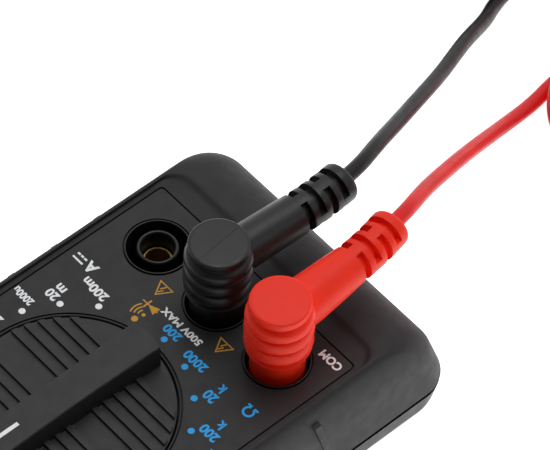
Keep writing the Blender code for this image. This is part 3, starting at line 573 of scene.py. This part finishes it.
def sector(inner, outer, middle, half_angle, y0, y1, steps=14):
    """A slot cutter: part of a ring round the Y axis."""
    rings = []
    for k in range(steps + 1):
        a = middle - half_angle + 2 * half_angle * k / steps
        c, s = math.cos(a), math.sin(a)
        rings.append([(inner * c, y0, inner * s), (outer * c, y0, outer * s), (outer * c, y1, outer * s),
                      (inner * c, y1, inner * s)])
    return loft(rings)


def plug_body(name, lead):
    """The plug's moulding: shroud, stacked grip rings, cap, side arm and the slotted boot at its end."""
    x = JACKS[lead["jack"]]
    shroud_r, bore_r, shroud_low, bore_top = 5.9, 5.1, 13.6, 32.0
    pin_hole_r, pin_hole_top = 2.25, 38.0
    profile = [(0, pin_hole_top), (pin_hole_r, pin_hole_top), (pin_hole_r, bore_top), (bore_r, bore_top),
               (bore_r, shroud_low), (shroud_r, shroud_low)]
    for bottom, top, radius in GRIP_RINGS:
        low, high = PANEL + bottom, PANEL + top
        profile += [(shroud_r, low), (radius - 0.4, low + 0.02), (radius - 0.12, low + 0.14),
                    (radius, low + 0.42)]
        if top - bottom > 3.0:
            profile += [(radius - 0.04, low + 1.0), (radius - 0.2, low + 1.7)]
        profile += [(radius - 0.5, high - 1.35), (radius - 0.85, high - 1.05), (GROOVE_R, high - 0.85),
                    (GROOVE_R, high)]
    low, high = PANEL + CAP_LOW, PANEL + CAP_TOP
    profile += [(CAP_R - 0.12, low), (CAP_R, low + 0.15), (CAP_R, high - 0.45), (CAP_R - 0.1, high - 0.2),
                (CAP_R - 0.32, high - 0.05), (CAP_R - 0.9, high), (0, high)]
    wide, narrow = lead["arm"]
    end = ARM_LENGTH + BOOT_LENGTH
    stations = [(3.0, wide), (8.0, wide), (15.0, (wide + narrow) / 2), (ARM_LENGTH, narrow)]
    stations += [(ARM_LENGTH + 1.1 * k, narrow) for k in range(1, 12)]
    stations += [(end - 0.9, narrow - 0.04), (end - 0.45, narrow - 0.28), (end - 0.15, narrow - 0.75),
                 (end, narrow - 1.4)]
    path = [tuple(arm_place(lead, along)[0]) for along, _ in stations]
    steps = [("UNION", [swept(path, [radius for _, radius in stations])])]
    slots = []
    for k in range(SLOT_ROWS):
        place, heading = arm_place(lead, ARM_LENGTH + k * SLOT_PITCH + SLOT_WIDTH / 2)
        for side in (0, 1):
            middle = math.pi * side + (0.0 if k % 2 == 0 else math.pi / 2)
            cutter = sector(narrow - SLOT_DEPTH, narrow + 1.0, middle, SLOT_HALF_ANGLE, -SLOT_WIDTH / 2,
                            SLOT_WIDTH / 2)
            slots.append(moved(cutter, heading, place))
    steps.append(("DIFFERENCE", slots))
    if name == "black":
        mould_line = box(-0.1, 0.1, -5.6, 5.6, 0.0, 0.13)
        steps.append(("UNION", [moved(mould_line, math.radians(6), (x, JACK_Y, high - 0.05))]))
    piece(f"{name}_plug", [turned(profile, 72, (x, JACK_Y))], lead["plug_look"], f"{name}_lead",
          (f"{name}_plug_body",), steps, bevel=0.22, angle=40.0)


def probe_handle(name, lead):
    """A probe's grip: a ribbed tail, a waisted and ringed handle, a guard and a tapered nose."""
    tilt = probe_tilt(lead)
    profile = [(0, 0.3), (2.3, 0.3), (2.6, 0.6)]
    for k in range(4):
        z = 1.6 + 3.0 * k
        r = 2.75 + 0.18 * k
        profile += [(r, z), (r, z + 1.6), (r - 0.5, z + 1.8), (r - 0.5, z + 2.8)]
    profile += [(3.4, 13.6), (4.3, 14.6), (4.6, 15.6), (5.1, 21.0), (5.3, 28.0)]
    for k in range(9):
        z = 29.0 + 3.6 * k
        r = 5.25 - 0.22 * math.sin(math.pi * (k + 0.5) / 9)
        profile += [(r, z), (r, z + 1.9), (r - 0.35, z + 2.1), (r - 0.35, z + 3.4)]
    profile += [(5.05, 61.6), (5.1, 66.0), (5.2, 69.8), (5.7, 71.0), (7.1, 71.6), (7.4, 72.1),
                (GUARD_R, GUARD_AT), (7.4, 73.9), (7.0, 74.4), (5.6, 75.0), (5.0, 76.3), (4.2, 82.5),
                (3.4, 90.0), (3.1, 91.6), (2.7, PROBE_LENGTH), (1.35, PROBE_LENGTH), (1.35, 84.0), (0, 84.0)]
    return piece(f"{name}_probe", [along_x(turned(profile, 48), lead["probe"], tilt, lead["backwards"])],
                 lead["plug_look"], f"{name}_lead", (f"{name}_probe_handle",), angle=32.0)


def tie(name, lead):
    """A flat strap round the coil's turns."""
    inner_r, outer_r, low, high, thick = 11.25, 23.6, 0.38, 7.42, 0.34
    a = lead["tie_angle"]
    rings = []
    for y in (-1.6, -1.45, 1.45, 1.6):
        inset = 0.1 if abs(y) > 1.5 else 0.0
        grow = thick - inset
        loop = outline(inner_r - grow, outer_r + grow, low - grow, high + grow, 1.6, y, 6)
        rings.append([(r, y, z) for r, z, _ in loop])
    rings += [[(r, y, z) for r, z, _ in outline(inner_r, outer_r, low, high, 1.3, y, 6)] for y in (1.6, -1.6)]
    strap = loft(rings, closed=True)
    return piece(f"{name}_tie", [moved(strap, a, (*lead["coil"], 0.0))], TIE, f"{name}_lead",
                 angle=40.0)


for lead_name, lead in LEADS.items():
    plug_body(lead_name, lead)
    handle = probe_handle(lead_name, lead)
    strap = tie(lead_name, lead)
    line = cord(f"{lead_name}_cable", lead)
    dress(line, lead["cable_look"], f"{lead_name}_lead",
          (f"{lead_name}_cord", f"{lead_name}_coil", f"{lead_name}_cord_tail"))
    bpy.context.view_layer.update()


# Case

# Where a side's rounding starts, how far it reaches out and down, and the wall's slope below it.
SIDE = (32.2, 2.95, 12.0, 0.0)
JACK_END = (52.4, 16.0, 16.0, 22.0)
DISPLAY_END = (60.9, 9.0, 9.0, 10.0)


def shoulder(z, side):
    """How far a side of the front case reaches at height z."""
    start, out, down, draft = side
    centre = CASE_TOP - down
    slope = math.radians(draft)
    end = centre + down * math.sin(slope)
    if z >= end:
        return start + out * math.sqrt(max(1.0 - ((z - centre) / down) ** 2, 0.0))
    return start + out * math.cos(slope) + (end - z) * math.tan(slope)


def case_corner(z):
    """The radius of the front case's upright corners, which grows downwards."""
    return 4.5 + 2.0 * math.sqrt(min(1.0, (CASE_TOP - z) / 10.0)) + 2.2 * max(0.0, 21.0 - z) / 13.0


def case_ring(z, level, inset):
    """The front case's outline at one level, drawn in by inset and laid at height z."""
    half = shoulder(level, SIDE) - inset
    return outline(-half, half, -shoulder(level, JACK_END) + inset, shoulder(level, DISPLAY_END) - inset,
                   case_corner(level) - inset, z, 14)


def grip_rib(side, top_y):
    """One slanted rib on a side wall, rounded at its edges. side is 1 on the right, -1 on the left."""
    rings = []
    for x, half, ends in ((33.2, 0.95, 0.0), (35.2, 0.9, 0.1), (35.42, 0.78, 0.3), (35.5, 0.5, 0.7)):
        top, bottom = 27.0 - ends, 9.0 + ends
        rings.append([(side * x, top_y - half, top), (side * x, top_y + half, top),
                      (side * x, top_y - 5.0 + half, bottom), (side * x, top_y - 5.0 - half, bottom)])
    return loft(rings)


def front_shell():
    """The upper case: an inner skin, the outer skin over it, and the step down to the panel."""
    levels = {PARTING_HIGH, 8.25, 10.0, 13.0, 16.0}
    for _, _, down, draft in (SIDE, JACK_END, DISPLAY_END):
        steps = 16 if down > 10 else 8
        sweep = 90.0 - draft
        levels |= {round(CASE_TOP - down * (1 - math.cos(math.radians(sweep * k / steps))), 3)
                   for k in range(steps + 1)}
    kept = [PARTING_HIGH]
    for level in sorted(levels):
        if level - kept[-1] > 0.02:
            kept.append(level)
    rings = [case_ring(z, z + 1.5, 1.7) for z in (27.7, 25.5, 22.0, 17.0, PARTING_HIGH)]
    rings.append(case_ring(PARTING_HIGH, PARTING_HIGH, 0.2))
    rings += [case_ring(z, z, 0.0) for z in kept[1:]]
    loops = smooth(((31.0, 32.05, 51.5), (30.85, 31.98, 51.1), (30.45, 31.93, 50.3), (30.25, 31.9, 49.4),
                    (30.2, 31.88, 48.8)), 0.3)
    rings += [outline(-half, half, -end, 60.0, 4.5, z, 14) for z, half, end in loops]
    rings += [outline(-30.8, 30.8, -45.9, 59.0, 1.0, z, 14) for z in (PANEL, 29.5)]
    cut = [cylinder(23.0, 26.9, 33.0, (0, DIAL_Y), 96)]
    cut += [cylinder(7.0, 26.0, 33.0, (x, JACK_Y), 48) for x in JACKS.values()]
    opening = [outline(-23.8, 23.8, 41.9, 55.9, 1.0, z, 6) for z in (27.0, 28.1)]
    opening += [outline(-25.6, 25.6, 40.1, 57.7, 1.3, z, 6) for z in (28.1, 33.0)]
    cut.append(loft(opening))
    ribs = [grip_rib(side, -31.4 + 11.75 * k) for k in range(6) for side in (-1, 1)]
    piece("front_shell", [loft(rings)], CASE, "case", ("front_case",),
          [("UNION", ribs), ("DIFFERENCE", cut)], angle=30.0)


def rear_shell():
    """The lower case: a tub with the battery bay's walls, the screw posts and the door's opening."""
    levels = smooth(((PARTING_LOW, 35.08, 72.3, 72.35), (5.0, 34.9, 71.5, 71.8), (2.6, 34.6, 70.5, 71.0),
                     (1.3, 34.0, 69.6, 70.0), (0.4, 33.0, 68.3, 69.0), (0.0, 32.0, 67.0, 68.0)), 0.7)
    rings = [outline(-half, half, -jack, display, 5.0, z) for z, half, jack, display in
             ((2.0, 32.2, 68.0, 68.5), (7.6, 33.1, 70.3, 70.3))]
    rings += [outline(-34.0, 34.0, -71.2, 71.3, 7.5, z) for z in (7.6, 6.1)]
    rings += [outline(-half, half, -jack, display, 7.7 + z / 7.6, z) for z, half, jack, display in levels]
    walls = [box(-32.0, 32.0, 24.4, 25.7, 1.5, 20.3), box(-23.0, 23.0, 60.2, 61.4, 1.5, 17.0),
             box(-31.2, -30.0, 26.2, 57.2, 1.5, 20.3), box(30.0, 31.2, 26.2, 57.2, 1.5, 20.3)]
    corners = ((-27.0, -62.0), (27.0, -62.0), (-28.0, 62.0), (28.0, 62.0))
    walls += [cylinder(4.4, 1.0, 7.4, at, 32) for at in corners]
    hole = ((0, -1.0), (3.5, -1.0), (3.1, 0.4), (3.1, 4.4), (1.7, 4.4), (1.7, 9.0), (0, 9.0))
    openings = [turned(hole, 32, at) for at in corners]
    openings.append(loft([outline(-29.0, 29.0, 26.0, 57.0, 1.5, z, 6) for z in (-1.0, 2.6)]))
    piece("rear_shell", [loft(rings)], REAR_CASE, "case", ("rear_case",),
          [("UNION", walls), ("UNION", [box(-6.2, 6.2, 16.2, 25.0, 1.5, 10.0)]), ("DIFFERENCE", openings),
           ("DIFFERENCE", [box(-4.9, 4.9, 17.6, 27.3, -1.0, 2.4)]),
           ("DIFFERENCE", [cylinder(1.9, 1.0, 8.0, (0, 21.5), 32)])], angle=30.0)


def sockets():
    """The three wells: a rounded rim, a deep ring round a tube, and the tube's bore."""
    profile = [(0, 9.4), (7.15, 9.4), (7.15, 30.15), (7.08, 30.3), (6.98, 30.35), (6.86, 30.33),
               (6.75, 30.22), (6.7, 30.0), (6.7, 13.0), (4.6, 13.0), (4.6, 29.6), (4.54, 29.95), (4.4, 30.2),
               (4.2, 30.33), (4.05, 30.35), (3.88, 30.25), (3.72, 30.05), (3.6, 29.7), (3.5, 27.5),
               (3.5, 10.0), (0, 10.0)]
    for name, x in JACKS.items():
        piece(f"socket_{name}", [turned(profile, 72, (x, JACK_Y))], WELL_BLACK_WITH_PAINTED_SHADE, "case", angle=40.0)


def panel():
    """The printed overlay, and the thin lip of the case round the knob."""
    rings = [outline(-half, half, low, high, radius, z, 4) for half, low, high, radius, z in
             ((30.5, -45.6, 58.7, 0.9, 29.8), (30.5, -45.6, 58.7, 0.9, 30.1),
              (30.42, -45.52, 58.62, 0.85, PANEL))]
    cut = [cylinder(7.5, 29.0, 31.0, (x, JACK_Y), 96) for x in JACKS.values()]
    cut.append(cylinder(23.55, 29.0, 31.0, (0, DIAL_Y), 160))
    cut.append(loft([outline(-25.6, 25.6, 40.1, 57.7, 1.3, z, 6) for z in (29.0, 31.0)]))
    piece("panel_film", [loft(rings)], FILM, "case", ("face_panel",), [("DIFFERENCE", cut)],
          angle=25.0)
    lip = ((22.75, 28.4), (23.25, 28.4), (23.25, 30.05), (23.2, 30.16), (23.1, PANEL), (22.9, PANEL),
           (22.8, 30.16), (22.75, 30.05))
    piece("dial_lip", [hoop(lip, 160, (0, DIAL_Y))], CASE, "case", angle=50.0)


def knob():
    """The selector: a disc, a waisted pointer bar and the grip ribs beside it."""
    disc = ((0, 20.0), (3.4, 20.0), (3.4, 24.4), (24.0, 24.4), (24.0, 27.4), (22.4, 27.4), (22.4, 29.95),
            (22.34, 30.1), (22.2, PANEL), (0, PANEL))
    rings = []
    levels = ((29.5, 0.3), (PANEL, 0.3), (32.0, 0.22), (34.0, 0.12), (35.9, 0.02), (36.1, -0.04),
              (36.26, -0.16), (BAR_TOP, -0.4))
    for z, widening in levels:
        side = []
        for k in range(17):
            t = k / 8.0 - 1.0
            half = 3.9 + 0.35 * t * t + widening
            side.append((half, t * math.sqrt(BAR_END_R ** 2 - half ** 2)))
        corner = math.atan2(side[-1][1], side[-1][0])
        cap = []
        for k in range(1, 8):
            a = corner + (math.pi - 2 * corner) * k / 8
            cap.append((BAR_END_R * math.cos(a), BAR_END_R * math.sin(a)))
        right = side + cap
        whole = right + [(-x, -y) for x, y in right]
        rings.append([(x, DIAL_Y + y, z) for x, y in whole])
    ribs = []
    for k in range(5):
        near, far = 2.8 + k * 2.88, 4.15 + k * 2.88
        reach = [math.sqrt(22.0 ** 2 - across ** 2) for across in (near, far)]
        for end in (-1, 1):
            for side in (-1, 1):
                corners = ((3.0, near), (reach[0], near), (reach[1], far), (3.0, far))
                ribs.append(loft([[(side * x, DIAL_Y + end * y, z) for x, y in corners]
                                  for z in (29.6, 30.95)]))
    slots = [box(min(a, b), max(a, b), DIAL_Y - 1.4, DIAL_Y + 1.4, 23.5, 27.0)
             for a, b in ((15.5, 25.0), (-15.5, -25.0))]
    piece("selector_knob", [turned(disc, 160, (0, DIAL_Y))], KNOB, "selector",
          ("rotary_knob",), [("UNION", [loft(rings)]), ("UNION", ribs), ("DIFFERENCE", slots)], bevel=0.12,
          angle=40.0)
    piece("pointer_line", [box(-0.45, 0.45, DIAL_Y + 13.0, DIAL_Y + 20.6, BAR_TOP - 0.02, BAR_TOP + 0.03)],
          WHITE_INK, "selector")


front_shell()
rear_shell()
sockets()
panel()
knob()


# Print on the panel

def lettering(text, x0, x1, y0, y1, weight=0.035):
    """Letters as a closed mesh, stretched to fill a box."""
    curve = bpy.data.curves.new("letters", "FONT")
    curve.body = text
    curve.extrude = 0.5
    curve.offset = weight
    curve.resolution_u = 4
    made = bpy.data.objects.new("letters", curve)
    bpy.context.scene.collection.objects.link(made)
    bpy.context.view_layer.update()
    mesh = made.to_mesh()
    co = np.array([v.co for v in mesh.vertices])
    faces = [tuple(p.vertices) for p in mesh.polygons]
    made.to_mesh_clear()
    bpy.data.objects.remove(made)
    low, high = co.min(0), co.max(0)
    size = high - low
    share = (co - low) / size
    points = [(x0 + (x1 - x0) * a, y0 + (y1 - y0) * b, INK_LOW + (INK_HIGH - INK_LOW) * c)
              for a, b, c in share]
    return points, faces


def centred(text, x, y, width, height):
    return lettering(text, x - width / 2, x + width / 2, y - height / 2, y + height / 2)


def dot(angle):
    """One of the dots round the knob."""
    a = math.radians(angle)
    at = (DOT_RING_R * math.cos(a), DIAL_Y + DOT_RING_R * math.sin(a))
    return cylinder(0.75, INK_LOW, INK_HIGH, at, 24)


def flat(points):
    """Ink over a convex outline."""
    return loft([[(x, y, z) for x, y in points] for z in (INK_LOW, INK_HIGH)])


def stroke(a, b, width):
    """A straight line of ink with square ends."""
    a, b = Vector(a), Vector(b)
    ahead = (b - a).normalized() * width / 2
    side = Vector((-ahead.y, ahead.x))
    return flat([tuple(a - ahead + side), tuple(a - ahead - side), tuple(b + ahead - side),
                 tuple(b + ahead + side)])


def arc(centre, radius, start, end, width, steps=16):
    """A curved line of ink between two angles."""
    rings = []
    for k in range(steps + 1):
        a = math.radians(start + (end - start) * k / steps)
        c, s = math.cos(a), math.sin(a)
        inner, outer = radius - width / 2, radius + width / 2
        rings.append([(centre[0] + inner * c, centre[1] + inner * s, INK_LOW),
                      (centre[0] + outer * c, centre[1] + outer * s, INK_LOW),
                      (centre[0] + outer * c, centre[1] + outer * s, INK_HIGH),
                      (centre[0] + inner * c, centre[1] + inner * s, INK_HIGH)])
    return loft(rings)


def triangle_outline(x0, x1, y0, y1, width):
    middle = (x0 + x1) / 2
    outer = ((x0, y0), (x1, y0), (middle, y1))
    centre = Vector((middle, y0 + (y1 - y0) / 3))
    inner = [tuple(centre + (Vector(p) - centre) * (1 - 2.6 * width / (y1 - y0))) for p in outer]
    rings = [[(*p, z) for p in loop] for loop, z in ((outer, INK_LOW), (outer, INK_HIGH), (inner, INK_HIGH),
                                                     (inner, INK_LOW))]
    return loft(rings, closed=True)


def direct_current(x0, x1, y):
    """A bar over three dashes."""
    marks = [box(x0, x1, y, y + 0.45, INK_LOW, INK_HIGH)]
    step = (x1 - x0) / 3
    marks += [box(x0 + k * step + 0.12, x0 + (k + 1) * step - 0.12, y - 1.35, y - 0.85, INK_LOW, INK_HIGH)
              for k in range(3)]
    return marks


def ohm(x0, x1, y0, y1, width):
    """An ohm sign. Each stroke lies a hair lower than the last, so that no faces coincide."""
    middle, radius = (x0 + x1) / 2, (x1 - x0) / 2 - width / 2
    centre = (middle, y1 - radius - width / 2)
    foot_y = y0 + width / 2
    marks = [arc(centre, radius, -58, 238, width, 24)]
    open_at = math.radians(-58)
    for side in (-1, 1):
        near = (middle + side * radius * math.cos(open_at), centre[1] + radius * math.sin(open_at))
        foot = stroke((near[0], foot_y), (middle + side * (radius + 0.1), foot_y), width)
        marks.append(moved(stroke(near, (near[0], foot_y), width), to=(0.0, 0.0, -0.004)))
        marks.append(moved(foot, to=(0.0, 0.0, -0.008)))
    return marks


def print_marks():
    """All the print: ranges in white and blue, symbols in amber."""
    white = [lettering("200m", 15.6, 22.6, -18.6, -16.3), lettering("20", 22.3, 25.3, -10.9, -8.6),
             lettering("m", 22.7, 25.0, -13.1, -11.5), lettering("A", 22.5, 25.4, -21.8, -19.0),
             lettering("500V MAX", -5.8, 6.1, -25.9, -24.1), lettering("COM", -29.2, -23.4, -43.9, -41.8)]
    white += direct_current(25.7, 28.8, -19.8)
    white += [centred("OFF", 0.0, 34.3, 5.6, 2.4), centred("500", 10.4, 33.2, 5.0, 2.2),
              centred("200", 18.4, 29.2, 5.0, 2.2), centred("9V", 25.0, 22.8, 3.2, 2.0),
              centred("10A", 28.1, 16.2, 4.2, 1.9), centred("200u", 27.7, 2.8, 4.8, 1.9),
              centred("2000u", 27.4, -5.0, 5.4, 1.9), centred("V", 22.0, 34.6, 2.6, 2.6),
              centred("V", -24.6, 34.6, 2.6, 2.6), centred("500", -10.4, 33.2, 5.0, 2.2),
              centred("200", -18.4, 29.2, 5.0, 2.2), centred("20", -24.2, 23.4, 3.4, 2.1),
              centred("2000m", -27.3, 16.2, 5.4, 1.9), centred("200m", -27.9, 2.8, 4.8, 1.9)]
    white += direct_current(-22.8, -19.8, 34.9)
    wave = [(24.0 + 0.32 * k, 34.6 + 0.7 * math.sin(math.tau * k / 10)) for k in range(11)]
    white += [stroke(a, b, 0.45) for a, b in zip(wave, wave[1:])][::2]
    white += [dot(a) for a in (90, 72, 54, 36, 18, 0, -18, -36, -54, 108, 126, 144, 162, 180)]
    blue = [lettering("200", -2.1, 2.5, -23.6, -21.4), lettering("2000", -11.4, -5.3, -22.6, -20.3),
            lettering("20", -18.5, -15.5, -19.3, -16.7), lettering("k", -17.8, -16.2, -22.1, -19.8),
            lettering("200", -26.0, -21.4, -13.1, -10.7), lettering("k", -24.5, -22.9, -16.1, -13.8),
            lettering("2000", -29.9, -24.6, -6.8, -4.6), lettering("k", -28.2, -26.7, -9.7, -7.5)]
    blue += ohm(-26.3, -23.5, -23.1, -20.1, 0.5)
    blue += [dot(a) for a in (-90, -108, -126, -144, -162)]
    amber = [triangle_outline(x0, x1, -29.5, -25.9, 0.32) for x0, x1 in ((-11.4, -7.0), (7.8, 12.1))]
    for middle in (-9.2, 9.95):
        amber.append(stroke((middle + 0.25, -26.9), (middle - 0.3, -28.0), 0.3))
        amber.append(stroke((middle + 0.35, -28.0), (middle - 0.15, -29.0), 0.3))
    amber.append(dot(-72))
    speaker = (7.5, -20.9)
    amber.append(cylinder(0.42, INK_LOW, INK_HIGH, speaker, 20))
    amber += [arc(speaker, r, -34, 32, 0.34) for r in (1.2, 2.05, 2.9)]
    amber += [flat([(6.3, -22.3), (6.3, -24.5), (8.9, -23.4)]),
              box(8.95, 9.35, -24.6, -22.2, INK_LOW, INK_HIGH),
              box(6.0, 10.6, -23.55, -23.25, INK_LOW - 0.01, INK_HIGH - 0.01)]
    for name, marks, ink in (("print_white", white, WHITE_INK), ("print_blue", blue, BLUE_INK),
                             ("print_amber", amber, AMBER_INK)):
        piece(name, marks, ink, "case")


print_marks()


# Floor and light

def floor():
    """A pale floor just under the object."""
    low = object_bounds()[0].z - 0.0001
    mesh = bpy.data.meshes.new("floor")
    mesh.from_pydata([(x, y, low) for x, y in ((-4, -4), (4, -4), (4, 4), (-4, 4))], [], [(0, 1, 2, 3)])
    made = bpy.data.objects.new("floor", mesh)
    kit = Nodes("floor", (0.9, 0.9, 0.9), 0.9)
    kit.colours(kit.noise(3.0, 2.0), (0.89, 0.89, 0.89), (0.91, 0.91, 0.91))
    kit.shader.inputs["Emission Color"].default_value = (1.0, 1.0, 1.0, 1.0)
    kit.shader.inputs["Emission Strength"].default_value = 0.95
    kit.shader.inputs["Specular IOR Level"].default_value = 0.1
    mesh.materials.append(kit.made)
    bpy.context.scene.collection.objects.link(made)
    made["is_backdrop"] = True


def surroundings():
    """A white studio: bright behind the object as the camera sees it, dark on the camera's own side."""
    world = bpy.data.worlds.new("studio")
    world.use_nodes = True
    bpy.context.scene.world = world
    tree = world.node_tree
    background = tree.nodes["Background"]
    place = tree.nodes.new("ShaderNodeTexCoord")
    dot_node = tree.nodes.new("ShaderNodeVectorMath")
    dot_node.operation = "DOT_PRODUCT"
    dot_node.inputs[1].default_value = Vector((0.62, -0.72, 0.3)).normalized()
    tree.links.new(place.outputs["Generated"], dot_node.inputs[0])
    ramp = tree.nodes.new("ShaderNodeMapRange")
    for socket, number in (("From Min", -0.35), ("From Max", 0.75), ("To Min", 0.03), ("To Max", 0.85)):
        ramp.inputs[socket].default_value = number
    tree.links.new(dot_node.outputs["Value"], ramp.inputs["Value"])
    tree.links.new(ramp.outputs["Result"], background.inputs["Strength"])
    background.inputs["Color"].default_value = (0.97, 0.98, 1.0, 1.0)


def area(name, at, aim, size, power):
    """A square lamp of a size in metres and a power in watts."""
    data = bpy.data.lights.new(name, "AREA")
    data.shape = "SQUARE"
    data.size = size
    data.energy = power
    made = bpy.data.objects.new(name, data)
    made.location = at
    made.rotation_euler = (Vector(aim) - Vector(at)).to_track_quat("-Z", "Y").to_euler()
    bpy.context.scene.collection.objects.link(made)


floor()
surroundings()
area("top_light", at=(0.1, -0.25, 1.1), aim=(0.0, -0.05, 0.0), size=0.7, power=3.7)
area("side_light", at=(-0.9, -0.35, 0.75), aim=(0.0, -0.05, 0.02), size=0.5, power=0.9)
bpy.context.scene.view_settings.view_transform = "Standard"
